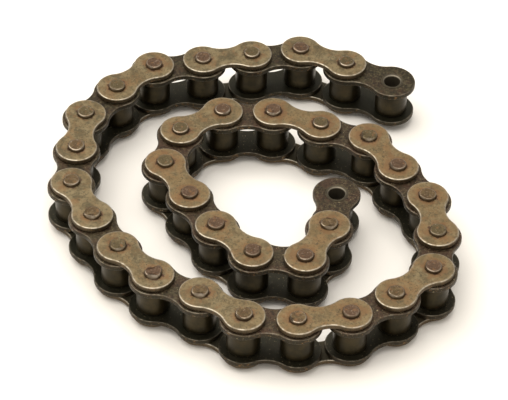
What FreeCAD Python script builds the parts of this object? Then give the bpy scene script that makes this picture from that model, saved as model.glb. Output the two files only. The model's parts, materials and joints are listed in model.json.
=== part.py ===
import FreeCAD, Part
import math
import os
import Sketcher

# A 5/8 inch pitch simplex roller chain, 33 links long, lying on its side in an open spiral.
# Millimetres. +Z is up and along every pin. Z = 0 is the surface that the pin ends stand on.
# Links with an even number are inner links: two plates pressed on two bushes, a roller round each.
# Links with an odd number are outer links: two plates pressed on two riveted pins.

# ---------------------------------------------------------------- driving dimensions

DIMENSIONS = [
    ("pitch", 15.875, "distance between pin axes"),
    ("plate_thickness", 1.6, "every link plate"),
    ("inner_plate_depth", 14.7, "across the round end of an inner plate"),
    ("inner_plate_waist", 10.4, "across the middle of an inner plate"),
    ("outer_plate_depth", 12.8, "across the round end of an outer plate"),
    ("outer_plate_waist", 8.2, "across the middle of an outer plate"),
    ("plate_edge_round", 0.35, "rounded rim of a plate's outward face"),
    ("inner_width", 9.65, "clear width between the inner plates"),
    ("bush_length", 12.95, "over the bush ends, which stand just proud of the inner plates"),
    ("bush_diameter", 7.1, "outside of the bush"),
    ("bush_bore", 5.16, "inside of the bush, 0.04 clear of the pin all round"),
    ("bush_chamfer", 0.3, "mouth of the bush bore"),
    ("roller_diameter", 10.16, "outside of the roller"),
    ("roller_bore", 7.26, "inside of the roller, 0.08 clear of the bush all round"),
    ("roller_length", 9.35, "leaves 0.15 of float at each end"),
    ("roller_edge_round", 0.4, "rim of the roller"),
    ("pin_diameter", 5.08, "shank of the pin"),
    ("pin_length", 18.4, "over the riveted ends"),
    ("rivet_diameter", 5.2, "flare of the riveted end, outside the outer plate"),
    ("rivet_edge_round", 0.4, "hammered rim of the riveted end"),
    ("side_play", 0.1, "between the bush end and the outer plate"),
]

# How far the chain turns at each pin, counter-clockwise from above, in whole degrees. The first
# link's heading is FIRST_HEADING, counter-clockwise from +X. The chain was laid down by hand.
FIRST_HEADING = 157
PIN_TURNS = [
    0, 34, 1, 1, 32, 10, 28, 5,
    29, 5, 12, 19, -7, 30, 16, 21,
    12, 39, 16, 24, 0, 37, -1, 22,
    34, 39, 45, 2, 13, 40, 68, 19,
]

# The packed part holds at most 60 files, so these rollers share the file of their inner link.
ROLLERS_IN_LINK_FILE = range(5, 30, 4)

# Edges count as lying at a height, or as having a radius, within this many millimetres.
TOLERANCE = 1e-4

UPWARDS = FreeCAD.Vector(0, 0, 1)
ORIGIN = FreeCAD.Vector(0, 0, 0)
UPSIDE_DOWN = FreeCAD.Rotation(FreeCAD.Vector(1, 0, 0), 180)

document = FreeCAD.newDocument("roller_chain")


def make_spreadsheet():
    sheet = document.addObject("Spreadsheet::Sheet", "Sizes")
    for row, (alias, value, note) in enumerate(DIMENSIONS, start=1):
        sheet.set(f"A{row}", alias)
        sheet.set(f"B{row}", str(value))
        sheet.set(f"C{row}", note)
        sheet.setAlias(f"B{row}", alias)
    document.recompute()
    return sheet


sizes = make_spreadsheet()

# ---------------------------------------------------------------- helpers


def new_body(name):
    return document.addObject("PartDesign::Body", name)


def flat_sketch(body, name, lift=None):
    """A sketch on the body's own XY plane, raised by the expression in lift."""
    plane = [f for f in body.Origin.OriginFeatures if f.Role == "XY_Plane"][0]
    sketch = body.newObject("Sketcher::SketchObject", name)
    sketch.AttachmentSupport = [(plane, "")]
    sketch.MapMode = "FlatFace"
    if lift:
        sketch.setExpression("AttachmentOffset.Base.z", lift)
    return sketch


def add_circle(sketch, centre_x, diameter):
    """A circle on the sketch's X axis; both arguments are spreadsheet expressions."""
    circle = sketch.addGeometry(Part.Circle(ORIGIN, UPWARDS, 1.0), False)
    sketch.addConstraint(Sketcher.Constraint("PointOnObject", circle, 3, -1))
    if centre_x:
        across = sketch.addConstraint(Sketcher.Constraint("DistanceX", -1, 1, circle, 3, 1.0))
        sketch.setExpression(f"Constraints[{across}]", centre_x)
    else:
        sketch.addConstraint(Sketcher.Constraint("PointOnObject", circle, 3, -2))
    width = sketch.addConstraint(Sketcher.Constraint("Diameter", circle, 2.0))
    sketch.setExpression(f"Constraints[{width}]", diameter)
    return circle


def pad(body, sketch, name, length, both_ways=False, downwards=False):
    feature = body.newObject("PartDesign::Pad", name)
    feature.Profile = sketch
    feature.setExpression("Length", length)
    feature.Midplane = both_ways
    feature.Reversed = downwards
    document.recompute()
    return feature


def dress(body, kind, name, base, size_property, size, is_wanted):
    """A fillet or chamfer on every edge of the base feature that is_wanted picks."""
    names = [f"Edge{n}" for n, edge in enumerate(base.Shape.Edges, start=1) if is_wanted(edge)]
    feature = body.newObject(kind, name)
    feature.Base = (base, names)
    feature.setExpression(size_property, size)
    document.recompute()
    return feature


def is_rim(edge, height, radius=None):
    """True for an edge that lies flat at this height and, if it is given, has this radius."""
    box = edge.BoundBox
    if abs(box.ZMin - height) > TOLERANCE or abs(box.ZMax - height) > TOLERANCE:
        return False
    return radius is None or abs(edge.Curve.Radius - radius) < TOLERANCE


# ---------------------------------------------------------------- the five kinds of piece


def make_plate(name, depth, waist, hole):
    """A waisted link plate. Its first hole is at the origin and its outward face is upwards."""
    body = new_body(name)
    sketch = flat_sketch(body, f"{name}_outline")
    span = sizes.pitch
    end_radius = getattr(sizes, depth) / 2
    half_waist = getattr(sizes, waist) / 2
    waist_radius = ((span / 2) ** 2 + half_waist ** 2 - end_radius ** 2) / (2 * (end_radius - half_waist))
    lean = math.atan2(half_waist + waist_radius, span / 2)

    def arc(centre_x, centre_y, radius, start, stop):
        circle = Part.Circle(FreeCAD.Vector(centre_x, centre_y, 0), UPWARDS, radius)
        return sketch.addGeometry(Part.ArcOfCircle(circle, start, stop), False)

    waist_height = half_waist + waist_radius
    first_end = arc(0, 0, end_radius, lean, 2 * math.pi - lean)
    lower_waist = arc(span / 2, -waist_height, waist_radius, lean, math.pi - lean)
    second_end = arc(span, 0, end_radius, lean - math.pi, math.pi - lean)
    upper_waist = arc(span / 2, waist_height, waist_radius, lean - math.pi, -lean)

    for first, first_point, second, second_point in [
        (first_end, 2, lower_waist, 2),
        (lower_waist, 1, second_end, 1),
        (second_end, 2, upper_waist, 2),
        (upper_waist, 1, first_end, 1),
    ]:
        sketch.addConstraint(Sketcher.Constraint("Tangent", first, first_point, second, second_point))
    sketch.addConstraint(Sketcher.Constraint("Coincident", first_end, 3, -1, 1))
    sketch.addConstraint(Sketcher.Constraint("PointOnObject", second_end, 3, -1))
    across = sketch.addConstraint(Sketcher.Constraint("DistanceX", -1, 1, second_end, 3, span))
    sketch.setExpression(f"Constraints[{across}]", "Sizes.pitch")
    sketch.addConstraint(Sketcher.Constraint("Equal", first_end, second_end))
    end_size = sketch.addConstraint(Sketcher.Constraint("Radius", first_end, end_radius))
    sketch.setExpression(f"Constraints[{end_size}]", f"Sizes.{depth} / 2")
    sketch.addConstraint(Sketcher.Constraint("Equal", lower_waist, upper_waist))
    waist_size = sketch.addConstraint(Sketcher.Constraint("Radius", lower_waist, waist_radius))
    sketch.setExpression(
        f"Constraints[{waist_size}]",
        f"(Sizes.pitch ^ 2 + Sizes.{waist} ^ 2 - Sizes.{depth} ^ 2)"
        f" / (4 * (Sizes.{depth} - Sizes.{waist}))",
    )
    add_circle(sketch, None, f"Sizes.{hole}")
    add_circle(sketch, "Sizes.pitch", f"Sizes.{hole}")

    sheet_metal = pad(body, sketch, f"{name}_blank", "Sizes.plate_thickness")
    hole_radius = getattr(sizes, hole) / 2

    def outer_rim(edge):
        return is_rim(edge, sizes.plate_thickness) and not is_rim(edge, sizes.plate_thickness, hole_radius)

    dress(body, "PartDesign::Fillet", f"{name}_rim", sheet_metal, "Radius", "Sizes.plate_edge_round", outer_rim)
    return body


def make_tube(name, outside, inside, length):
    """A plain tube, centred on the origin along Z."""
    body = new_body(name)
    sketch = flat_sketch(body, f"{name}_ring")
    add_circle(sketch, None, f"Sizes.{outside}")
    add_circle(sketch, None, f"Sizes.{inside}")
    wall = pad(body, sketch, f"{name}_wall", f"Sizes.{length}", both_ways=True)
    return body, wall


def make_bush():
    """The bush is pressed into both inner plates; its bore has a small chamfer at each mouth."""
    body, wall = make_tube("bush", "bush_diameter", "bush_bore", "bush_length")

    def mouth(edge):
        ends = (-sizes.bush_length / 2, sizes.bush_length / 2)
        return any(is_rim(edge, end, sizes.bush_bore / 2) for end in ends)

    dress(body, "PartDesign::Chamfer", "bush_mouths", wall, "Size", "Sizes.bush_chamfer", mouth)
    return body


def make_roller():
    """The roller turns freely on its bush."""
    body, wall = make_tube("roller", "roller_diameter", "roller_bore", "roller_length")

    def rim(edge):
        ends = (-sizes.roller_length / 2, sizes.roller_length / 2)
        return any(is_rim(edge, end, sizes.roller_diameter / 2) for end in ends)

    dress(body, "PartDesign::Fillet", "roller_rims", wall, "Radius", "Sizes.roller_edge_round", rim)
    return body


def make_pin():
    """The pin's shank fits both outer plates; each end is riveted over to a slightly wider head."""
    body = new_body("pin")
    shank_sketch = flat_sketch(body, "pin_shank_circle")
    add_circle(shank_sketch, None, "Sizes.pin_diameter")
    feature = pad(body, shank_sketch, "pin_shank", "Sizes.pin_length", both_ways=True)
    face_height = "(Sizes.bush_length / 2 + Sizes.side_play + Sizes.plate_thickness)"
    for name, sign in (("upper", ""), ("lower", "-")):
        rivet_sketch = flat_sketch(body, f"{name}_rivet_circle", f"{sign}{face_height}")
        add_circle(rivet_sketch, None, "Sizes.rivet_diameter")
        stand_out = f"Sizes.pin_length / 2 - {face_height}"
        feature = pad(body, rivet_sketch, f"{name}_rivet", stand_out, downwards=(sign == "-"))

    def rim(edge):
        ends = (-sizes.pin_length / 2, sizes.pin_length / 2)
        return any(is_rim(edge, end, sizes.rivet_diameter / 2) for end in ends)

    dress(body, "PartDesign::Fillet", "rivet_rims", feature, "Radius", "Sizes.rivet_edge_round", rim)
    return body


# ---------------------------------------------------------------- links


def group(name, members):
    """The members as separate solids of one object."""
    compound = document.addObject("Part::Compound", name)
    compound.Links = members
    return compound


def placed_copy(source, name, along=None, height=None, upside_down=False):
    """The source moved along the link by one expression and up the pin by another."""
    copy = group(name, [source])
    if upside_down:
        copy.Placement = FreeCAD.Placement(ORIGIN, UPSIDE_DOWN)
    if along:
        copy.setExpression(".Placement.Base.x", along)
    if height:
        copy.setExpression(".Placement.Base.z", height)
    return copy


def plate_pair(plate, name, face_height):
    """Two copies of a plate, facing outwards, with their inward faces at +/- face_height."""
    upper = placed_copy(plate, f"upper_{name}", height=face_height)
    lower = placed_copy(plate, f"lower_{name}", height=f"-{face_height}", upside_down=True)
    return [upper, lower]


def make_link_patterns():
    """One inner link with and without each of its rollers, and one outer link.

    A link starts at its first axis, runs along +X for one pitch and is centred on Z = 0."""
    inner_plate = make_plate("inner_plate", "inner_plate_depth", "inner_plate_waist", "bush_diameter")
    outer_plate = make_plate("outer_plate", "outer_plate_depth", "outer_plate_waist", "pin_diameter")
    bush = make_bush()
    pin = make_pin()
    roller = make_roller()

    inner_plates = plate_pair(inner_plate, "inner_plate", "(Sizes.inner_width / 2)")
    outer_plates = plate_pair(outer_plate, "outer_plate", "(Sizes.bush_length / 2 + Sizes.side_play)")
    bushes = [bush, placed_copy(bush, "second_bush", along="Sizes.pitch")]
    pins = [pin, placed_copy(pin, "second_pin", along="Sizes.pitch")]
    rollers = [roller, placed_copy(roller, "second_roller", along="Sizes.pitch")]
    patterns = {
        "outer": group("outer_link_pattern", outer_plates + pins),
        "inner": group("inner_link_pattern", inner_plates + bushes),
        "roller": roller,
    }
    for end, one_roller in enumerate(rollers):
        members = inner_plates + bushes + [one_roller]
        patterns[f"inner with roller {end}"] = group(f"inner_link_pattern_with_roller_{end}", members)
    document.recompute()
    return patterns


# ---------------------------------------------------------------- the spiral


def link_headings():
    headings = [FIRST_HEADING]
    for turn in PIN_TURNS:
        headings.append(headings[-1] + turn)
    return headings


def axis_positions(headings):
    """The chain's axes from the outer end to the inner end, as (x, y), with the spiral's middle at 0.

    Every axis has an inner plate's round end about it, so the axes' middle is the outline's too."""
    points = [(0.0, 0.0)]
    for heading in headings:
        angle = math.radians(heading)
        x, y = points[-1]
        points.append((x + sizes.pitch * math.cos(angle), y + sizes.pitch * math.sin(angle)))
    middle_x, middle_y = [(min(values) + max(values)) / 2 for values in zip(*points)]
    return [(x - middle_x, y - middle_y) for x, y in points]


def place(node, point, height, heading):
    turn = FreeCAD.Rotation(UPWARDS, heading)
    node.Placement = FreeCAD.Placement(FreeCAD.Vector(point[0], point[1], height), turn)


def make_chain():
    patterns = make_link_patterns()
    headings = link_headings()
    points = axis_positions(headings)
    mid_height = sizes.pin_length / 2

    nodes = []
    for number, heading in enumerate(headings):
        if number % 2:
            kind, pattern = "outer", "outer"
        else:
            kind, pattern = "inner", "inner"
            for end in (0, 1):
                if number + end in ROLLERS_IN_LINK_FILE:
                    pattern = f"inner with roller {end}"
        node = group(f"{kind}_link_{number:02d}", [patterns[pattern]])
        place(node, points[number], mid_height, heading)
        nodes.append(node)

    for number, point in enumerate(points):
        if number in ROLLERS_IN_LINK_FILE:
            continue
        node = group(f"roller_{number:02d}", [patterns["roller"]])
        link = number if number % 2 == 0 and number < len(headings) else number - 1
        place(node, point, mid_height, headings[link])
        nodes.append(node)
    document.recompute()
    return nodes


def check_document():
    for item in document.Objects:
        faults = [state for state in item.State if state in ("Invalid", "Error")]
        if faults:
            raise RuntimeError(f"{item.Label}: {faults}")
        if hasattr(item, "Shape") and item.TypeId != "App::Plane" and not item.Shape.isNull():
            if not item.Shape.isValid():
                raise RuntimeError(f"{item.Label}: the shape isn't valid")


def export(nodes):
    os.makedirs("parts", exist_ok=True)
    for node in nodes:
        if node.Shape.isNull() or not node.Shape.Solids:
            raise RuntimeError(f"{node.Label}: no solid")
        Part.makeCompound(node.Shape.Solids).exportStep(f"parts/{node.Label}.step")


chain_nodes = make_chain()
check_document()
export(chain_nodes)
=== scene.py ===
import json
import math
import random

import bpy
import bmesh
from mathutils import Euler, Matrix, Vector

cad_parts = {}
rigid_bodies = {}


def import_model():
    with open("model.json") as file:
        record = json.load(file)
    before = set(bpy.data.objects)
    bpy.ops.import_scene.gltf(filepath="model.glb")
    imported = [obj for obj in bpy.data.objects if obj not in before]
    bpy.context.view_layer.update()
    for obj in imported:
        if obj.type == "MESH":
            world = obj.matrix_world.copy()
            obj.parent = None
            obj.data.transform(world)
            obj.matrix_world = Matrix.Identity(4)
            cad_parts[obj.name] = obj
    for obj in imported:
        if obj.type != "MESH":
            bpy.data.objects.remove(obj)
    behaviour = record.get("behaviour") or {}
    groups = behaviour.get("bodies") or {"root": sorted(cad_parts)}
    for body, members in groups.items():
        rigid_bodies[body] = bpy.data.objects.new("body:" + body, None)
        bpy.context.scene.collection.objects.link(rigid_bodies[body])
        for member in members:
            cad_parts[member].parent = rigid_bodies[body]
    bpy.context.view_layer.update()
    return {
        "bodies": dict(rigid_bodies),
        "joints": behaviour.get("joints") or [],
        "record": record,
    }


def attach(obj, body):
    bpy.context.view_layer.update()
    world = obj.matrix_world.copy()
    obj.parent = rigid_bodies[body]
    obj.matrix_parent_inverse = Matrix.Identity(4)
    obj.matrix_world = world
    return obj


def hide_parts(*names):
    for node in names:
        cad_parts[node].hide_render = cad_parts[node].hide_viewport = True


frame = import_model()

# A worn roller chain lying on its side. Metres, in the frame of the CAD model: +Z is up along the
# pins and Z = 0 is the surface that the pin ends stand on. Piece shapes are drawn in millimetres,
# with their own origin, and turned into the row frame as they are made.

MM = 0.001

# Sizes of the pieces, in millimetres. They are those of the CAD model, except that RIVET_RADIUS is
# a little smaller, because the lobes of each struck head add to it.
PITCH = 15.875
PLATE_THICKNESS = 1.6
INNER_PLATE_DEPTH = 14.7
INNER_PLATE_WAIST = 10.4
OUTER_PLATE_DEPTH = 12.8
OUTER_PLATE_WAIST = 8.2
INNER_WIDTH = 9.65
BUSH_LENGTH = 12.95
BUSH_RADIUS = 3.55
BORE_RADIUS = 2.58
BORE_CHAMFER = 0.3
ROLLER_RADIUS = 5.08
ROLLER_BORE_RADIUS = 3.63
ROLLER_LENGTH = 9.35
PIN_RADIUS = 2.54
PIN_LENGTH = 18.4
RIVET_RADIUS = 2.57
SIDE_PLAY = 0.1
OUTER_FACE = BUSH_LENGTH / 2 + SIDE_PLAY
PIN_FOOT = OUTER_FACE + PLATE_THICKNESS
MID_HEIGHT = PIN_LENGTH / 2

# Rounded and chamfered edges, in millimetres. The CAD model has nearly the same on a plate's outward
# rim and on a roller, and sharp edges on the rest of these.
PLATE_RIM_ROUND = 0.36
PLATE_BACK_ROUND = 0.24
HOLE_MOUTH = 0.05
BUSH_ROUND = 0.05
ROLLER_ROUND = 0.45
ROLLER_CHAMFER = 0.15

# How many points go round each shape.
END_ARC_POINTS = 44
WAIST_ARC_POINTS = 14
HOLE_POINTS = 40
TUBE_POINTS = 56
PIN_POINTS = 48

# A flat band of this width, in millimetres, keeps the smooth shading of an edge off the face.
FLAT_BAND = 0.5

# The side of a plate counts as cut steel up to this lean of its rounded edge, in degrees.
CUT_SIDE_LEAN = 40

# The heads that the riveting punch left plainly out of round. The flats that it cut are given by
# direction, in degrees counter-clockwise from +X, and distance from the pin's axis at the top of
# the head. Each slopes outwards by FLAT_SLOPE down to the plate. A burr is a corner of the head that
# the punch pushed out, by direction and reach.
FLATS = {
    4: [(185, 2.0), (275, 2.2)],
    10: [(262, 1.7), (165, 2.0)],
    11: [(180, 2.0), (85, 1.9), (0, 2.1), (285, 1.9)],
    12: [(120, 1.4), (266, 1.5), (350, 2.2)],
    13: [(268, 1.6), (105, 1.9)],
    15: [(200, 1.95)],
    16: [(222, 2.1)],
    18: [(90, 2.2), (178, 2.15), (0, 2.25)],
    20: [(235, 2.15)],
    22: [(95, 1.9), (182, 1.9), (355, 2.1), (270, 1.85)],
    24: [(180, 2.0), (0, 2.1), (265, 1.9)],
    32: [(95, 1.7), (270, 1.8)],
}
FLAT_SLOPE = 0.8
BURR_SHARPNESS = 6
BURRS = {
    7: (10, 0.25),
    10: (190, 0.35),
    12: (48, 0.8),
    13: (215, 0.3),
    20: (190, 0.25),
    32: (180, 0.4),
}

# What is random about every head: three slight lobes and a tilt, as shares of its size, the rounding
# of its rim, and, where FLATS gives none, how far from the axis its two flats are. In millimetres.
MAX_LOBE = 0.04
MAX_TILT = 0.035
CROWN_ROUND = 0.34, 0.46
LIGHT_FLATS = 1.9, 2.4

# How bright a flat is rubbed for each millimetre that it is cut in.
SHINE_PER_CUT = 2.5

# The colours of the heads, and how bright their rims are rubbed. The others are in between.
PLUM_HEADS = {2, 4, 5, 12, 16, 18, 21, 24, 25, 28, 29, 30, 31}
OLIVE_HEADS = {1, 3, 6, 7, 11, 19, 22, 23, 26, 27}
BRIGHT_RIMS = {1, 3, 8, 9, 14, 15, 17, 23, 24, 25, 26, 31}
DULL_RIMS = {11, 16, 19, 22, 27, 28, 29, 30}

# From this link inwards the chain is rustier. Browner steel gets a higher number.
RUSTIER_FROM = 14
RUSTIER_BROWN = 0.55
CLEANER_BROWN = 0.05
BROWN_SPREAD = 0.4

# Where the marks round an axis start to fade and are gone, in millimetres from the axis.
RUST_FADE = 2.6, 5.6
STREAK_FADE = 2.7, 3.9
# The ring of oil and painted shade round each pin hole.
OIL_AND_SHADE_FADE = 2.56, 2.75
BUSH_RING_FADE = 2.7, 3.0

# Where the oil and painted shade at a roller's ends start and are thickest, in millimetres from its
# middle.
ROLLER_END_OIL_AND_SHADE = 3.2, 4.6

# The random numbers of the whole chain, and the range of the number that shifts a piece's noise.
CHAIN_SEED = 1930
SEED_SPAN = 400

# Colours of the finishes, as linear red, green and blue.
OLIVE_DARK = (0.093, 0.071, 0.034)
OLIVE_LIGHT = (0.191, 0.147, 0.077)
OLIVE_SHADE = (0.062, 0.048, 0.023)
PALE_GRAIN = (0.262, 0.208, 0.121)
TAN = (0.173, 0.110, 0.044)
RUST = (0.160, 0.080, 0.031)
ORANGE_BROWN = (0.205, 0.112, 0.044)
DARK_RUST = (0.051, 0.021, 0.010)
# This colour is real dirt in the specks on the outer plates, and painted shade at and round each pin's
# foot.
DIRT_AND_SHADE = (0.019, 0.012, 0.007)
SIDE_BROWN = (0.068, 0.047, 0.026)
SIDE_DARK = (0.029, 0.020, 0.011)
RUBBED = (0.412, 0.364, 0.286)
OILY_DARK = (0.025, 0.018, 0.008)
OILY_LIGHT = (0.044, 0.034, 0.015)
# This black is old oil, and also painted shade on the plates' inward faces and at the rollers' ends.
OILY_BLACK_AND_SHADE = (0.0165, 0.0162, 0.0085)
OILY_DEEP = (0.012, 0.009, 0.005)
OILY_GREY = (0.093, 0.077, 0.042)
OILY_RUST = (0.050, 0.022, 0.010)
OILY_RUBBED = (0.136, 0.116, 0.087)
BUSH_RIM = (0.250, 0.220, 0.170)
BORE_BROWN = (0.100, 0.084, 0.058)
OILY_BROWN = (0.056, 0.029, 0.016)
FLECK = (0.300, 0.240, 0.140)
PIN_BROWN = (0.076, 0.044, 0.016)
PIN_LIGHT = (0.112, 0.073, 0.029)
PIN_PLUM = (0.076, 0.038, 0.020)
PIN_DARK = (0.033, 0.021, 0.009)
PIN_OLIVE = (0.076, 0.056, 0.021)
PIN_SIDE = (0.091, 0.065, 0.035)
PIN_RUBBED = (0.347, 0.290, 0.228)
ROLLER_DARK = (0.022, 0.017, 0.007)
ROLLER_BROWN = (0.041, 0.030, 0.012)

# ---------------------------------------------------------------- where the axes are


def chain_axes():
    """The (x, y) of every axis in millimetres, from the outer end to the inner end."""
    joints = {joint["name"]: joint["pos_m"] for joint in frame["joints"]}
    mounts = {mount["name"]: mount["pos_m"] for mount in frame["record"]["mounts"]}
    pins = [joints[name] for name in sorted(joints) if name.startswith("pin_")]
    points = [mounts["outer_end_bore"]] + pins + [mounts["inner_end_bore"]]
    return [(point[0] / MM, point[1] / MM) for point in points]


def link_matrix(start, end):
    """From a link's own frame, along +X from its first axis at mid height, to the row frame."""
    heading = math.atan2(end[1] - start[1], end[0] - start[0])
    place = Matrix.Translation(Vector((start[0], start[1], MID_HEIGHT)) * MM)
    return place @ Matrix.Rotation(heading, 4, "Z") @ Matrix.Scale(MM, 4)


# ---------------------------------------------------------------- shapes, in millimetres


class Shape:
    """Points and faces of one piece. wear is 1 where it rubs bright, side 1 on a cut edge or a bore."""

    def __init__(self):
        self.points = []
        self.wear = []
        self.side = []
        self.faces = []

    def ring(self, points, wear=0.0, side=0.0):
        """Points all round the piece; wear is one number, or one for each point."""
        first = len(self.points)
        self.points.extend(Vector(point) for point in points)
        self.wear.extend(wear if isinstance(wear, list) else [wear] * len(points))
        self.side.extend([side] * len(points))
        return list(range(first, len(self.points)))

    def join(self, lower, upper):
        """A band of quads between two rings that run counter-clockwise, seen from above."""
        count = len(lower)
        for i in range(count):
            k = (i + 1) % count
            self.faces.append((lower[i], lower[k], upper[k], upper[i]))

    def fill(self, outline, holes, upwards=True):
        """A flat face with holes in it, as triangles."""
        mesh = bmesh.new()
        for loop in [outline] + holes:
            corners = [mesh.verts.new(self.points[i]) for i in loop]
            for i, corner in enumerate(corners):
                mesh.edges.new((corner, corners[(i + 1) % len(corners)]))
        numbers = [i for loop in [outline] + holes for i in loop]
        mesh.verts.index_update()
        bmesh.ops.triangle_fill(mesh, use_beauty=True, edges=mesh.edges[:])
        for face in mesh.faces:
            loop = [numbers[vert.index] for vert in face.verts]
            a, b, c = (self.points[i] for i in loop)
            faces_up = (b - a).cross(c - a).z > 0
            self.faces.append(tuple(loop) if faces_up == upwards else tuple(reversed(loop)))
        mesh.free()


def rounding(radius, angle):
    """How far in and how far below the flat face a rounded edge is, where it leans by angle degrees.

    The angle is 0 on the side and 90 on the face.
    """
    turn = math.radians(angle)
    return radius * (1 - math.cos(turn)), radius * (1 - math.sin(turn))


def circle(radius, height, count, centre_x=0.0):
    turns = (2 * math.pi * i / count for i in range(count))
    return [(centre_x + radius * math.cos(t), radius * math.sin(t), height) for t in turns]


def plate_outline(depth, waist, inset, height):
    """The waisted outline, drawn in from its edge by inset, counter-clockwise from the first end."""
    end_radius, half_waist, half_span = depth / 2, waist / 2, PITCH / 2
    waist_radius = (half_span**2 + half_waist**2 - end_radius**2) / (2 * (end_radius - half_waist))
    waist_height = half_waist + waist_radius
    lean = math.atan2(waist_height, half_span)
    points = []

    def arc(centre_x, centre_y, radius, start, stop, count):
        for i in range(count):
            angle = start + (stop - start) * i / count
            x, y = centre_x + radius * math.cos(angle), centre_y + radius * math.sin(angle)
            points.append((x, y, height))

    arc(0, 0, end_radius - inset, lean, 2 * math.pi - lean, END_ARC_POINTS)
    arc(half_span, -waist_height, waist_radius + inset, math.pi - lean, lean, WAIST_ARC_POINTS)
    arc(PITCH, 0, end_radius - inset, lean - math.pi, math.pi - lean, END_ARC_POINTS)
    arc(half_span, waist_height, waist_radius + inset, -lean, lean - math.pi, WAIST_ARC_POINTS)
    return points


def plate_levels():
    """The plate's edge from the inward face to the outward one, as (inset, height, wear, side)."""
    top = PLATE_THICKNESS
    levels = []
    for angle, wear in ((90, 0.6), (70, 1.0), (45, 1.0), (20, 0.7), (0, 0.0)):
        inset, fall = rounding(PLATE_BACK_ROUND, angle)
        levels.append((inset, fall, wear, max(0.0, 1 - angle / CUT_SIDE_LEAN)))
    levels += [(0.0, top * share, 0.0, 1.0) for share in (0.35, 0.6)]
    for angle, wear in ((0, 0.0), (15, 0.3), (30, 0.8), (45, 1.0), (60, 1.0), (75, 0.7), (90, 0.35)):
        inset, fall = rounding(PLATE_RIM_ROUND, angle)
        levels.append((inset, top - fall, wear, max(0.0, 1 - angle / CUT_SIDE_LEAN)))
    levels.append((PLATE_RIM_ROUND + 0.12, top, 0.12, 0.0))
    levels.append((PLATE_RIM_ROUND + FLAT_BAND, top, 0.0, 0.0))
    return levels


def plate_shape(depth, waist, hole_radius):
    """A link plate, inward face at Z = 0. The outward rim is rounded, the inward one nearly sharp."""
    shape = Shape()
    top = PLATE_THICKNESS
    rings = [
        shape.ring(plate_outline(depth, waist, inset, height), wear, side)
        for inset, height, wear, side in plate_levels()
    ]
    for lower, upper in zip(rings, rings[1:]):
        shape.join(lower, upper)

    back_holes, front_holes = [], []
    for centre_x in (0.0, PITCH):
        levels = [
            (hole_radius + FLAT_BAND, 0.0),
            (hole_radius + HOLE_MOUTH, 0.0),
            (hole_radius, HOLE_MOUTH),
            (hole_radius, top - HOLE_MOUTH),
            (hole_radius + HOLE_MOUTH, top),
            (hole_radius + FLAT_BAND, top),
        ]
        wall = [shape.ring(circle(radius, height, HOLE_POINTS, centre_x)) for radius, height in levels]
        for lower, upper in zip(wall, wall[1:]):
            shape.join(upper, lower)
        back_holes.append(wall[0])
        front_holes.append(wall[-1])
    shape.fill(rings[-1], front_holes)
    back = shape.ring(plate_outline(depth, waist, PLATE_BACK_ROUND + 0.25, 0))
    shape.join(back, rings[0])
    shape.fill(back, back_holes, upwards=False)
    return shape


def tube_shape(outside, inside, length, outer_round, inner_chamfer):
    """A tube about the origin, its outer rims rounded and its bore chamfered."""
    shape = Shape()
    outer, bore = [], []
    turns = [math.radians(angle) for angle in (0, 18, 36, 54, 72, 90)]
    steps = [(outer_round * (1 - math.cos(turn)), outer_round * math.sin(turn)) for turn in turns]
    half = length / 2
    profile = [(inset, -half + outer_round - rise, rise) for inset, rise in reversed(steps)]
    profile += [(0.0, half * share, 0.0) for share in (-0.6, -0.2, 0.2, 0.6)]
    profile += [(inset, half - outer_round + rise, rise) for inset, rise in steps]
    for inset, height, rise in profile:
        wear = min(1.0, 1.6 * rise / outer_round)
        outer.append(shape.ring(circle(outside - inset, height, TUBE_POINTS), wear))
    for lower, upper in zip(outer, outer[1:]):
        shape.join(lower, upper)
    for height, radius, wear in (
        (-half, inside + inner_chamfer, 1.0),
        (-half + inner_chamfer, inside, 1.0),
        (-half + inner_chamfer + 0.15, inside, 0.0),
        (0.0, inside, 0.0),
        (half - inner_chamfer - 0.15, inside, 0.0),
        (half - inner_chamfer, inside, 1.0),
        (half, inside + inner_chamfer, 1.0),
    ):
        bore.append(shape.ring(circle(radius, height, TUBE_POINTS), wear, 1.0))
    for lower, upper in zip(bore, bore[1:]):
        shape.join(upper, lower)
    shape.join(outer[-1], bore[-1])
    shape.join(bore[0], outer[0])
    return shape


class Head:
    """How one riveted end was struck: its lobes, flats and burr, and a slight tilt of its top."""

    def __init__(self, rng, flats=(), burr=(0, 0.0)):
        full = 2 * math.pi
        self.lobes = [
            (rng.uniform(0.0, MAX_LOBE), rng.randint(2, 5), rng.uniform(0, full)) for _ in range(3)
        ]
        self.tilt = rng.uniform(0, full), rng.uniform(0.0, MAX_TILT)
        self.crown = rng.uniform(*CROWN_ROUND)
        struck = [(rng.uniform(0, 360), rng.uniform(*LIGHT_FLATS)) for _ in range(2)]
        self.flats = [(math.radians(direction), distance) for direction, distance in flats or struck]
        self.burr = math.radians(burr[0]), burr[1]

    def point(self, x, y, rise):
        """Where a point of a round head ends up: x, y, how much higher, and how deep the punch cut.

        rise is 0 at the plate and 1 on top.
        """
        angle = math.atan2(y, x)
        waves = (size * math.cos(count * angle + start) for size, count, start in self.lobes)
        swell = 1 + rise * sum(waves) / 2
        towards = max(0.0, math.cos(angle - self.burr[0])) ** BURR_SHARPNESS
        swell += self.burr[1] / RIVET_RADIUS * towards * rise
        x, y = x * swell, y * swell
        cut = 0.0
        for direction, distance in self.flats:
            reach = x * math.cos(direction) + y * math.sin(direction)
            over = reach - distance - FLAT_SLOPE * (1 - rise)
            if over > 0:
                x -= over * math.cos(direction)
                y -= over * math.sin(direction)
                cut = max(cut, over)
        direction, slope = self.tilt
        lift = rise * slope * (x * math.cos(direction) + y * math.sin(direction) - RIVET_RADIUS)
        return x, y, lift, cut


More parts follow.
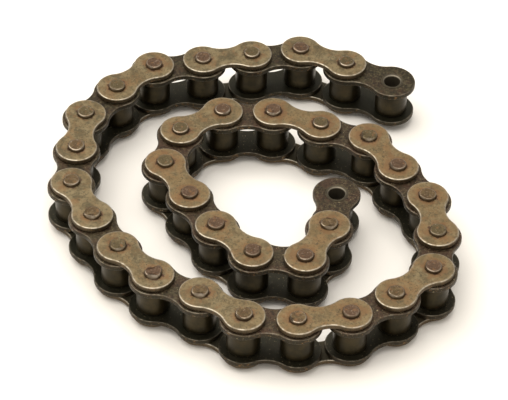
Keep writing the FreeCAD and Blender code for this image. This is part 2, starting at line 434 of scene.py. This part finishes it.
def head_levels(crown, shine):
    """One riveted end from just inside the plate to its top, as (radius, height, wear, side)."""
    half = PIN_LENGTH / 2
    levels = [
        (PIN_RADIUS, PIN_FOOT - 0.5, 0.0, 0.0),
        (PIN_RADIUS, PIN_FOOT - 0.02, 0.0, 0.0),
        (RIVET_RADIUS - 0.02, PIN_FOOT + 0.04, 0.0, 1.0),
        (RIVET_RADIUS, PIN_FOOT + 0.15, 0.0, 1.0),
        (RIVET_RADIUS, half - crown, 0.0, 1.0),
    ]
    for angle, wear in ((22, 0.25), (42, 0.85), (62, 1.0), (80, 0.6)):
        inset, fall = rounding(crown, angle)
        levels.append((RIVET_RADIUS - inset, half - fall, wear * shine, 1.0 - wear))
    levels.append((RIVET_RADIUS - crown - 0.06, half, 0.15 * shine, 0.0))
    levels.append((RIVET_RADIUS - crown - 0.28, half - 0.02, 0.0, 0.0))
    levels.append((0.7, half - 0.05, 0.0, 0.0))
    return levels


def pin_shape(upper, lower, shine):
    """A pin about the origin, with its two struck heads; shine is how bright their rims are rubbed."""
    shape = Shape()
    first_rings = []
    for sign, head in ((-1, lower), (1, upper)):
        rings = []
        for radius, height, wear, side in head_levels(head.crown, shine):
            rise = min(1.0, max(0.0, (height - PIN_FOOT) / (PIN_LENGTH / 2 - PIN_FOOT)))
            points, rubbed = [], []
            for x_round, y_round, _ in circle(radius, 0, PIN_POINTS):
                x, y, lift, cut = head.point(x_round, y_round, rise)
                if height < PIN_FOOT:
                    x, y, cut = x_round, y_round, 0.0
                points.append((x, y * sign, sign * (height + lift)))
                struck = min(1.0, SHINE_PER_CUT * cut) if side and rise > 0.2 else 0.0
                rubbed.append(max(wear, struck))
            rings.append(shape.ring(points, rubbed, side))
        for first, second in zip(rings, rings[1:]):
            shape.join(first, second)
        shape.faces.append(tuple(rings[-1]))
        first_rings.append(rings[0])
    lower_ring = [first_rings[0][0]] + first_rings[0][:0:-1]
    shape.join(lower_ring, first_rings[1])
    return shape


# ---------------------------------------------------------------- pieces


def make_piece(name, shape, matrix, material, body, seed, brown):
    """One piece in the row frame. It keeps its own coordinates, so its finish moves with it.

    seed shifts its noise, and brown says how brown its steel is.
    """
    mesh = bpy.data.meshes.new(name)
    mesh.from_pydata([matrix @ point for point in shape.points], [], shape.faces)
    own = mesh.attributes.new("own", "FLOAT_VECTOR", "POINT")
    own.data.foreach_set("vector", [value for point in shape.points for value in point])
    for label, values in (
        ("wear", shape.wear),
        ("side", shape.side),
        ("seed", [seed] * len(shape.points)),
        ("brown", [brown] * len(shape.points)),
    ):
        mesh.attributes.new(label, "FLOAT", "POINT").data.foreach_set("value", values)
    mesh.shade_smooth()
    mesh.materials.append(material)
    mesh.update()
    piece = bpy.data.objects.new(name, mesh)
    bpy.context.scene.collection.objects.link(piece)
    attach(piece, body)
    return piece


# ---------------------------------------------------------------- materials

BUMP_DISTANCE = 0.02 * MM


class Paint:
    """A short way to write a material's node tree."""

    def __init__(self, name):
        self.material = bpy.data.materials.new(name)
        self.material.use_nodes = True
        self.tree = self.material.node_tree
        self.shader = self.tree.nodes["Principled BSDF"]

    def node(self, kind, **settings):
        node = self.tree.nodes.new(kind)
        for key, value in settings.items():
            setattr(node, key, value)
        return node

    def feed(self, socket, value):
        if isinstance(value, bpy.types.NodeSocket):
            self.tree.links.new(value, socket)
        elif isinstance(value, tuple) and len(value) == 3 and socket.type == "RGBA":
            socket.default_value = (*value, 1.0)
        else:
            socket.default_value = value

    def math(self, operation, *values, clamp=False):
        node = self.node("ShaderNodeMath", operation=operation, use_clamp=clamp)
        for socket, value in zip(node.inputs, values):
            self.feed(socket, value)
        return node.outputs[0]

    def attribute(self, name):
        return self.node("ShaderNodeAttribute", attribute_type="GEOMETRY", attribute_name=name)

    def own(self):
        """The point in the piece's own millimetres."""
        return self.attribute("own").outputs["Vector"]

    def own_parts(self):
        parts = self.node("ShaderNodeSeparateXYZ")
        self.feed(parts.inputs[0], self.own())
        return parts.outputs

    def value(self, name):
        return self.attribute(name).outputs["Fac"]

    def noise(self, scale, detail=3.0, roughness=0.55, stretch=None, shift=0.0):
        """Noise in the piece's own millimetres. scale is in lumps per millimetre.

        stretch scales X, Y and Z, and another shift gives another pattern.
        """
        where = self.own()
        if stretch:
            scaled = self.node("ShaderNodeVectorMath", operation="MULTIPLY")
            self.feed(scaled.inputs[0], where)
            scaled.inputs[1].default_value = stretch
            where = scaled.outputs[0]
        node = self.node("ShaderNodeTexNoise", noise_dimensions="4D")
        self.feed(node.inputs["Vector"], where)
        self.feed(node.inputs["W"], self.math("ADD", self.value("seed"), shift))
        self.feed(node.inputs["Scale"], scale)
        self.feed(node.inputs["Detail"], detail)
        self.feed(node.inputs["Roughness"], roughness)
        return node.outputs["Fac"]

    def ramp(self, value, low, high, from_value=0.0, to_value=1.0):
        """A smooth step of value between low and high."""
        node = self.node("ShaderNodeMapRange", interpolation_type="SMOOTHSTEP")
        for socket, number in zip(node.inputs, (value, low, high, from_value, to_value)):
            self.feed(socket, number)
        return node.outputs["Result"]

    def mix(self, share, first, second, data_type="RGBA"):
        node = self.node("ShaderNodeMix", data_type=data_type)
        self.feed(node.inputs["Factor"], share)
        self.feed(node.inputs["A"], first)
        self.feed(node.inputs["B"], second)
        return node.outputs["Result"]

    def blend(self, share, first, second):
        """Like mix, for plain numbers."""
        return self.mix(share, first, second, "FLOAT")

    def length(self, x, y):
        squared = self.math("ADD", self.math("MULTIPLY", x, x), self.math("MULTIPLY", y, y))
        return self.math("SQRT", squared)

    def hole_distance(self):
        """Distance in the plate's plane, in millimetres, to the nearer of its two hole axes."""
        x, y, _ = self.own_parts()
        beyond = self.math("ABSOLUTE", self.math("SUBTRACT", x, PITCH))
        near_x = self.math("MINIMUM", self.math("ABSOLUTE", x), beyond)
        return self.length(near_x, y)

    def axis_distance(self):
        """Distance from the piece's own Z axis, in millimetres."""
        x, y, _ = self.own_parts()
        return self.length(x, y)

    def height(self):
        """Distance above or below the piece's own origin, in millimetres."""
        return self.math("ABSOLUTE", self.own_parts()[2])

    def inward(self):
        """Nearly 1 on a plate's inward face, where old oil stays and shade between the plates is
        painted.
        """
        return self.ramp(self.height(), 0.0, 0.25, 0.85, 0.0)

    def rim(self):
        """1 where an edge is rubbed smooth, and 0 on the flat faces and on the cut sides."""
        off_side = self.ramp(self.value("side"), 0.0, 0.9, 1.0, 0.1)
        return self.math("MULTIPLY", self.value("wear"), off_side)

    def shorn(self, light, dark):
        """Colour of a sheared side: short streaks across the thickness."""
        streak = self.noise(2.4, 3.0, 0.6, stretch=(1.0, 1.0, 0.2), shift=60.0)
        return self.mix(self.ramp(streak, 0.38, 0.62), dark, light)

    def grit(self, strength):
        """Crumbs of rust and dried oil that cling to a cut side."""
        return self.ramp(self.noise(0.9, 5.0, 0.75, shift=83.0), 0.55, 0.64, 0.0, strength)

    def finish(self, colour, metal, roughness, bumps, strength):
        self.feed(self.shader.inputs["Base Color"], colour)
        self.feed(self.shader.inputs["Metallic"], metal)
        self.feed(self.shader.inputs["Roughness"], roughness)
        bump = self.node("ShaderNodeBump")
        bump.inputs["Strength"].default_value = strength
        bump.inputs["Distance"].default_value = BUMP_DISTANCE
        self.feed(bump.inputs["Height"], bumps)
        self.feed(self.shader.inputs["Normal"], bump.outputs["Normal"])
        return self.material


def outer_plate_material():
    """Khaki, weathered steel: rust round the pins, dirt in specks, and an edge rubbed smooth."""
    paint = Paint("outer_plate_steel")
    cloud = paint.noise(0.3, 5.0, 0.65)
    grain = paint.noise(1.5, 6.0, 0.7, shift=7.0)
    colour = paint.mix(paint.ramp(cloud, 0.4, 0.6), OLIVE_DARK, OLIVE_LIGHT)
    brown = paint.value("brown")
    drift = paint.ramp(paint.noise(0.2, 4.0, 0.6, shift=50.0), 0.4, 0.6, -0.3, 0.3)
    warm = paint.math("MULTIPLY", paint.math("ADD", drift, brown), 0.6, clamp=True)
    colour = paint.mix(warm, colour, TAN)
    redder = paint.math("MULTIPLY", brown, 0.12)
    blush = paint.math("ADD", paint.noise(0.24, 4.0, 0.6, shift=90.0), redder)
    colour = paint.mix(paint.ramp(blush, 0.55, 0.7, 0.0, 0.5), colour, ORANGE_BROWN)
    colour = paint.mix(paint.ramp(grain, 0.38, 0.5, 0.8, 0.0), colour, OLIVE_SHADE)
    colour = paint.mix(paint.ramp(grain, 0.54, 0.68, 0.0, 0.6), colour, PALE_GRAIN)
    distance = paint.hole_distance()
    patch = paint.noise(0.34, 6.0, 0.7, shift=21.0)
    near = paint.ramp(distance, *RUST_FADE, 0.16, 0.0)
    near = paint.math("MULTIPLY", near, paint.math("ADD", brown, 0.45))
    rust = paint.ramp(paint.math("ADD", patch, near), 0.53, 0.7, 0.0, 0.65)
    colour = paint.mix(rust, colour, RUST)
    near = paint.ramp(distance, *STREAK_FADE, 0.18, 0.0)
    streak = paint.math("ADD", paint.noise(0.7, 5.0, 0.65, shift=33.0), near)
    colour = paint.mix(paint.ramp(streak, 0.64, 0.74, 0.0, 0.85), colour, DARK_RUST)
    dirt = paint.ramp(paint.noise(1.7, 3.0, 0.6, shift=44.0), 0.63, 0.69, 0.0, 0.8)
    colour = paint.mix(dirt, colour, DIRT_AND_SHADE)
    # A dark ring round each pin hole, where the head meets the plate: oil, and painted shade.
    oil_and_shade = paint.ramp(distance, *OIL_AND_SHADE_FADE, 0.45, 0.0)
    colour = paint.mix(oil_and_shade, colour, DIRT_AND_SHADE)
    side = paint.ramp(paint.value("side"), 0.15, 0.75)
    colour = paint.mix(paint.math("MULTIPLY", side, 0.75), colour, paint.shorn(SIDE_BROWN, SIDE_DARK))
    colour = paint.mix(paint.math("MULTIPLY", side, paint.grit(0.6)), colour, ORANGE_BROWN)
    # The inward face is painted near black: old oil, and painted shade between the plates.
    colour = paint.mix(paint.inward(), colour, OILY_BLACK_AND_SHADE)
    rubbed = paint.ramp(paint.noise(0.8, 4.0, 0.65, shift=71.0), 0.38, 0.56, 0.3, 1.0)
    rim = paint.math("MULTIPLY", paint.rim(), rubbed)
    colour = paint.mix(rim, colour, RUBBED)
    roughness = paint.blend(rim, paint.ramp(grain, 0.35, 0.65, 0.42, 0.64), 0.3)
    metal = paint.blend(rim, 0.6, 0.95)
    bumps = paint.math("ADD", grain, paint.noise(0.45, 2.0, shift=5.0))
    return paint.finish(colour, metal, roughness, bumps, 0.6)


def inner_plate_material():
    """Dark, oily steel with grey and brown stains, paler specks and a thin, duller rim."""
    paint = Paint("inner_plate_steel")
    cloud = paint.noise(0.35, 5.0, 0.65)
    grain = paint.noise(1.3, 6.0, 0.75, shift=7.0)
    colour = paint.mix(paint.ramp(cloud, 0.38, 0.62), OILY_DARK, OILY_LIGHT)
    brown = paint.value("brown")
    drift = paint.ramp(paint.noise(0.25, 4.0, 0.6, shift=27.0), 0.42, 0.6, -0.3, 0.5)
    stain = paint.math("MULTIPLY", paint.math("ADD", drift, brown), 0.8, clamp=True)
    colour = paint.mix(stain, colour, OILY_BROWN)
    colour = paint.mix(paint.ramp(grain, 0.4, 0.5, 0.9, 0.0), colour, OILY_DEEP)
    colour = paint.mix(paint.ramp(grain, 0.52, 0.62, 0.0, 0.9), colour, OILY_GREY)
    rust = paint.ramp(paint.noise(0.6, 5.0, 0.7, shift=33.0), 0.55, 0.66, 0.0, 0.7)
    colour = paint.mix(rust, colour, OILY_RUST)
    side = paint.ramp(paint.value("side"), 0.15, 0.75)
    colour = paint.mix(paint.math("MULTIPLY", side, 0.8), colour, paint.shorn(OILY_DARK, OILY_BLACK_AND_SHADE))
    colour = paint.mix(paint.math("MULTIPLY", side, paint.grit(0.7)), colour, ORANGE_BROWN)
    # The inward face is painted near black: old oil, and painted shade between the plates.
    colour = paint.mix(paint.inward(), colour, OILY_BLACK_AND_SHADE)
    fleck = paint.ramp(paint.noise(1.7, 3.0, 0.6, shift=44.0), 0.62, 0.7, 0.0, 0.8)
    fleck = paint.math("MULTIPLY", fleck, paint.ramp(brown, 0.0, 0.6, 0.1, 1.0))
    colour = paint.mix(fleck, colour, FLECK)
    rubbed = paint.ramp(paint.noise(0.6, 4.0, 0.6, shift=71.0), 0.4, 0.62, 0.15, 1.0)
    rim = paint.math("MULTIPLY", paint.rim(), rubbed)
    colour = paint.mix(rim, colour, OILY_RUBBED)
    roughness = paint.blend(rim, paint.ramp(grain, 0.35, 0.65, 0.34, 0.56), 0.3)
    metal = paint.blend(rim, 0.7, 0.9)
    bumps = paint.math("ADD", grain, paint.noise(0.6, 2.0, shift=5.0))
    return paint.finish(colour, metal, roughness, bumps, 0.8)


def pin_material():
    """Riveted ends: brown, plum or olive on top, paler where the punch struck, painted shade at the
    foot.
    """
    paint = Paint("pin_steel")
    tint = paint.value("brown")
    cloud = paint.noise(0.55, 4.0, 0.65)
    grain = paint.noise(2.0, 5.0, 0.7, shift=9.0)
    colour = paint.mix(paint.ramp(cloud, 0.4, 0.62), PIN_BROWN, PIN_LIGHT)
    colour = paint.mix(paint.ramp(tint, 0.6, 0.9, 0.0, 0.8), colour, PIN_PLUM)
    colour = paint.mix(paint.ramp(tint, 0.1, 0.4, 0.8, 0.0), colour, PIN_OLIVE)
    colour = paint.mix(paint.ramp(grain, 0.34, 0.5, 0.85, 0.0), colour, PIN_DARK)
    colour = paint.mix(paint.ramp(grain, 0.56, 0.68, 0.0, 0.6), colour, PIN_RUBBED)
    rust = paint.ramp(paint.noise(0.8, 4.0, 0.6, shift=15.0), 0.55, 0.66, 0.0, 0.75)
    colour = paint.mix(rust, colour, RUST)
    side = paint.ramp(paint.value("side"), 0.1, 0.6)
    colour = paint.mix(paint.math("MULTIPLY", side, 0.8), colour, PIN_SIDE)
    shoulder = paint.math("MULTIPLY", paint.value("wear"), paint.ramp(cloud, 0.4, 0.56, 0.4, 0.85))
    colour = paint.mix(shoulder, colour, PIN_RUBBED)
    # Painted shade: darker where each head meets the plate.
    foot = paint.ramp(paint.height(), PIN_FOOT, PIN_FOOT + 0.2, 0.35, 0.0)
    colour = paint.mix(foot, colour, DIRT_AND_SHADE)
    roughness = paint.blend(paint.value("wear"), 0.5, 0.24)
    metal = paint.blend(paint.value("wear"), 0.6, 1.0)
    bumps = paint.math("ADD", grain, paint.noise(0.9, 2.0, shift=5.0))
    return paint.finish(colour, metal, roughness, bumps, 0.8)


def roller_material():
    """Dark rollers, polished by use, with old oil and painted shade at their ends, next to the plates.
    """
    paint = Paint("roller_steel")
    rings = paint.noise(1.2, 4.0, 0.6, stretch=(0.15, 0.15, 1.0))
    cloud = paint.noise(0.35, 3.0, shift=13.0)
    colour = paint.mix(paint.ramp(cloud, 0.35, 0.68), ROLLER_DARK, ROLLER_BROWN)
    colour = paint.mix(paint.ramp(rings, 0.5, 0.72, 0.0, 0.5), colour, OILY_BLACK_AND_SHADE)
    spot = paint.ramp(paint.noise(0.8, 3.0, 0.6, shift=30.0), 0.62, 0.7, 0.0, 0.5)
    colour = paint.mix(spot, colour, OILY_RUST)
    # Darker towards each end, next to the plates: old oil, and painted shade.
    ends = paint.ramp(paint.height(), *ROLLER_END_OIL_AND_SHADE, 0.0, 0.35)
    colour = paint.mix(ends, colour, OILY_BLACK_AND_SHADE)
    rim = paint.math("MULTIPLY", paint.value("wear"), 0.3)
    colour = paint.mix(rim, colour, OILY_RUBBED)
    roughness = paint.ramp(rings, 0.3, 0.7, 0.30, 0.44)
    bumps = paint.math("ADD", paint.noise(2.0, 4.0, 0.6, shift=3.0), rings)
    return paint.finish(colour, 0.75, roughness, bumps, 0.35)


def bush_material():
    """A bush's end shows as a thin, paler ring round a brown bore that lies in shade."""
    paint = Paint("bush_steel")
    cloud = paint.noise(0.8, 4.0)
    colour = paint.mix(paint.ramp(cloud, 0.35, 0.68), OILY_DARK, OILY_LIGHT)
    wear = paint.value("wear")
    ring = paint.ramp(paint.axis_distance(), *BUSH_RING_FADE, 1.0, 0.1)
    edge = paint.math("MULTIPLY", paint.ramp(wear, 0.3, 1.0, 0.0, 0.8), ring)
    colour = paint.mix(edge, colour, BUSH_RIM)
    bore = paint.math("MULTIPLY", paint.value("side"), paint.ramp(wear, 0.3, 0.9, 1.0, 0.0))
    colour = paint.mix(bore, colour, BORE_BROWN)
    bumps = paint.noise(2.4, 4.0, 0.6, shift=3.0)
    return paint.finish(colour, 0.7, 0.4, bumps, 0.4)


# ---------------------------------------------------------------- the chain


def rim_shine(axis_number):
    if axis_number in BRIGHT_RIMS:
        return 1.0
    return 0.35 if axis_number in DULL_RIMS else 0.7


def head_brown(axis_number):
    """The colour of a pin's heads: 0 is olive, 0.5 brown and 1 plum."""
    if axis_number in PLUM_HEADS:
        return 1.0
    return 0.0 if axis_number in OLIVE_HEADS else 0.5


def link_brown(number, spread):
    """How brown the steel of a link is. The outer end link is the darkest and not brown at all."""
    if number == 0:
        return 0.0
    return spread + (RUSTIER_BROWN if number >= RUSTIER_FROM else CLEANER_BROWN)


def struck_pin(rng, axis_number, start, end):
    """The pin of one axis; its upper head's flats and burr are turned into the link's frame."""
    heading = math.degrees(math.atan2(end[1] - start[1], end[0] - start[0]))
    flats = [(direction - heading, distance) for direction, distance in FLATS.get(axis_number, [])]
    direction, reach = BURRS.get(axis_number, (0, 0.0))
    upper = Head(rng, flats, (direction - heading, reach))
    return pin_shape(upper, Head(rng), rim_shine(axis_number))


def make_chain():
    rng = random.Random(CHAIN_SEED)
    axes = chain_axes()
    outer_steel, inner_steel = outer_plate_material(), inner_plate_material()
    pin_steel, roller_steel, bush_steel = pin_material(), roller_material(), bush_material()
    outer_plate = plate_shape(OUTER_PLATE_DEPTH, OUTER_PLATE_WAIST, PIN_RADIUS)
    inner_plate = plate_shape(INNER_PLATE_DEPTH, INNER_PLATE_WAIST, BUSH_RADIUS)
    bush = tube_shape(BUSH_RADIUS, BORE_RADIUS, BUSH_LENGTH, BUSH_ROUND, BORE_CHAMFER)
    roller = tube_shape(ROLLER_RADIUS, ROLLER_BORE_RADIUS, ROLLER_LENGTH, ROLLER_ROUND, ROLLER_CHAMFER)
    upside_down = Matrix.Rotation(math.pi, 4, "X")

    def piece(name, shape, matrix, material, slot, node, brown=None):
        """A piece that rides on the body of a CAD node and takes the place of one of its solids."""
        spread = rng.uniform(0.0, BROWN_SPREAD)
        if brown is None:
            brown = link_brown(number, spread)
        made = make_piece(name, shape, matrix, material, node, rng.uniform(0, SEED_SPAN), brown)
        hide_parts(node)

    for number in range(len(axes) - 1):
        outer = number % 2 == 1
        node = f"{'outer' if outer else 'inner'}_link_{number:02d}"
        matrix = link_matrix(axes[number], axes[number + 1])
        if outer:
            plate, face, steel, slot = outer_plate, OUTER_FACE, outer_steel, "outer_link_steel"
        else:
            plate, face, steel, slot = inner_plate, INNER_WIDTH / 2, inner_steel, "inner_link_steel"
        lift = Matrix.Translation((0, 0, face))
        piece(f"{node}_upper_plate", plate, matrix @ lift, steel, slot, node)
        piece(f"{node}_lower_plate", plate, matrix @ upside_down @ lift, steel, slot, node)
        for axis_number, x in ((number, 0), (number + 1, PITCH)):
            along = matrix @ Matrix.Translation((x, 0, 0))
            if outer:
                pin = struck_pin(rng, axis_number, axes[number], axes[number + 1])
                brown = head_brown(axis_number)
                piece(f"pin_{axis_number:02d}", pin, along, pin_steel, slot, node, brown)
                continue
            piece(f"bush_{axis_number:02d}", bush, along, bush_steel, slot, node)
            spinning = f"roller_{axis_number:02d}"
            roller_node = spinning if spinning in frame["bodies"] else node
            piece(f"{spinning}_sleeve", roller, along, roller_steel, "roller_steel", roller_node)


# ---------------------------------------------------------------- floor, light and camera

FLOOR_REACH = 4.0
FLOOR_COLOUR = (0.84, 0.81, 0.768, 1)

# The light that comes from each side of the studio, and between which parts along Y or Z of a
# direction one fades into the next.
FRONT_WALL_LIGHT = (1.06, 0.98, 0.87, 1.0)
OTHER_WALLS_LIGHT = (0.36, 0.33, 0.29, 1.0)
CEILING_LIGHT = (1.02, 0.985, 0.92, 1.0)
FRONT_TO_OTHERS = -0.9, -0.2
WALLS_TO_CEILING = 0.1, 0.8

SOFT_BOX_PLACE = (-0.26, 0.10, 0.93)
SOFT_BOX_SIZE = 1.2
SOFT_BOX_POWER = 12.5
SOFT_BOX_COLOUR = (1.0, 0.965, 0.905)

# The camera looks down at the spiral from the front, through a long lens.
CAMERA_ELEVATION = 43.0
CAMERA_ROLL = 1.70
CAMERA_DISTANCE = 0.9566
CAMERA_LENS = 223.6
CAMERA_AIM = Vector((0.0001, -0.01206, 0.0187))


def make_floor():
    mesh = bpy.data.meshes.new("studio_floor")
    signs = ((-1, -1), (1, -1), (1, 1), (-1, 1))
    mesh.from_pydata([(x * FLOOR_REACH, y * FLOOR_REACH, 0) for x, y in signs], [], [(0, 1, 2, 3)])
    floor = bpy.data.objects.new("studio_floor", mesh)
    bpy.context.scene.collection.objects.link(floor)
    material = bpy.data.materials.new("studio_paper")
    material.use_nodes = True
    shader = material.node_tree.nodes["Principled BSDF"]
    shader.inputs["Base Color"].default_value = FLOOR_COLOUR
    shader.inputs["Roughness"].default_value = 0.9
    shader.inputs["Specular IOR Level"].default_value = 0.1
    mesh.materials.append(material)


def make_soft_box():
    """One wide lamp above the chain and to its left, turned towards the middle of the floor."""
    light = bpy.data.lights.new("top_soft_box", "AREA")
    light.shape = "SQUARE"
    light.size = SOFT_BOX_SIZE
    light.energy = SOFT_BOX_POWER
    light.color = SOFT_BOX_COLOUR
    lamp = bpy.data.objects.new("top_soft_box", light)
    lamp.location = SOFT_BOX_PLACE
    lamp.rotation_euler = (-Vector(SOFT_BOX_PLACE)).to_track_quat("-Z", "Y").to_euler()
    bpy.context.scene.collection.objects.link(lamp)


def make_surroundings():
    """Soft light from all round: a bright ceiling and front wall, and dim walls on the other sides."""
    world = bpy.data.worlds.new("studio")
    world.use_nodes = True
    nodes, links = world.node_tree.nodes, world.node_tree.links
    background = nodes["Background"]
    background.inputs["Strength"].default_value = 1.0
    direction = nodes.new("ShaderNodeTexCoord")
    parts = nodes.new("ShaderNodeSeparateXYZ")
    links.new(direction.outputs["Generated"], parts.inputs[0])

    def fade(axis, low, high, first, second):
        """first where the direction's part along the axis is under low, and second where over high."""
        step = nodes.new("ShaderNodeMapRange")
        step.interpolation_type = "SMOOTHSTEP"
        step.inputs["From Min"].default_value = low
        step.inputs["From Max"].default_value = high
        links.new(parts.outputs[axis], step.inputs["Value"])
        mix = nodes.new("ShaderNodeMix")
        mix.data_type = "RGBA"
        links.new(step.outputs["Result"], mix.inputs["Factor"])
        for socket, value in ((mix.inputs["A"], first), (mix.inputs["B"], second)):
            if isinstance(value, tuple):
                socket.default_value = value
            else:
                links.new(value, socket)
        return mix.outputs["Result"]

    walls = fade("Y", *FRONT_TO_OTHERS, FRONT_WALL_LIGHT, OTHER_WALLS_LIGHT)
    everywhere = fade("Z", *WALLS_TO_CEILING, walls, CEILING_LIGHT)
    links.new(everywhere, background.inputs["Color"])
    scene = bpy.context.scene
    scene.world = world
    scene.view_settings.view_transform = "Standard"


def make_camera():
    data = bpy.data.cameras.new("camera")
    data.lens = CAMERA_LENS
    data.sensor_width = 36.0
    data.clip_end = 20.0
    camera = bpy.data.objects.new("camera", data)
    elevation = math.radians(CAMERA_ELEVATION)
    back = Vector((0, -math.cos(elevation), math.sin(elevation)))
    tilt = Euler((math.pi / 2 - elevation, 0, 0)).to_matrix()
    roll = Matrix.Rotation(math.radians(CAMERA_ROLL), 3, "Z")
    turned = (tilt @ roll).to_4x4()
    camera.matrix_world = Matrix.Translation(CAMERA_AIM + back * CAMERA_DISTANCE) @ turned
    bpy.context.scene.collection.objects.link(camera)
    bpy.context.scene.camera = camera


make_chain()
make_floor()
make_surroundings()
make_soft_box()
make_camera()
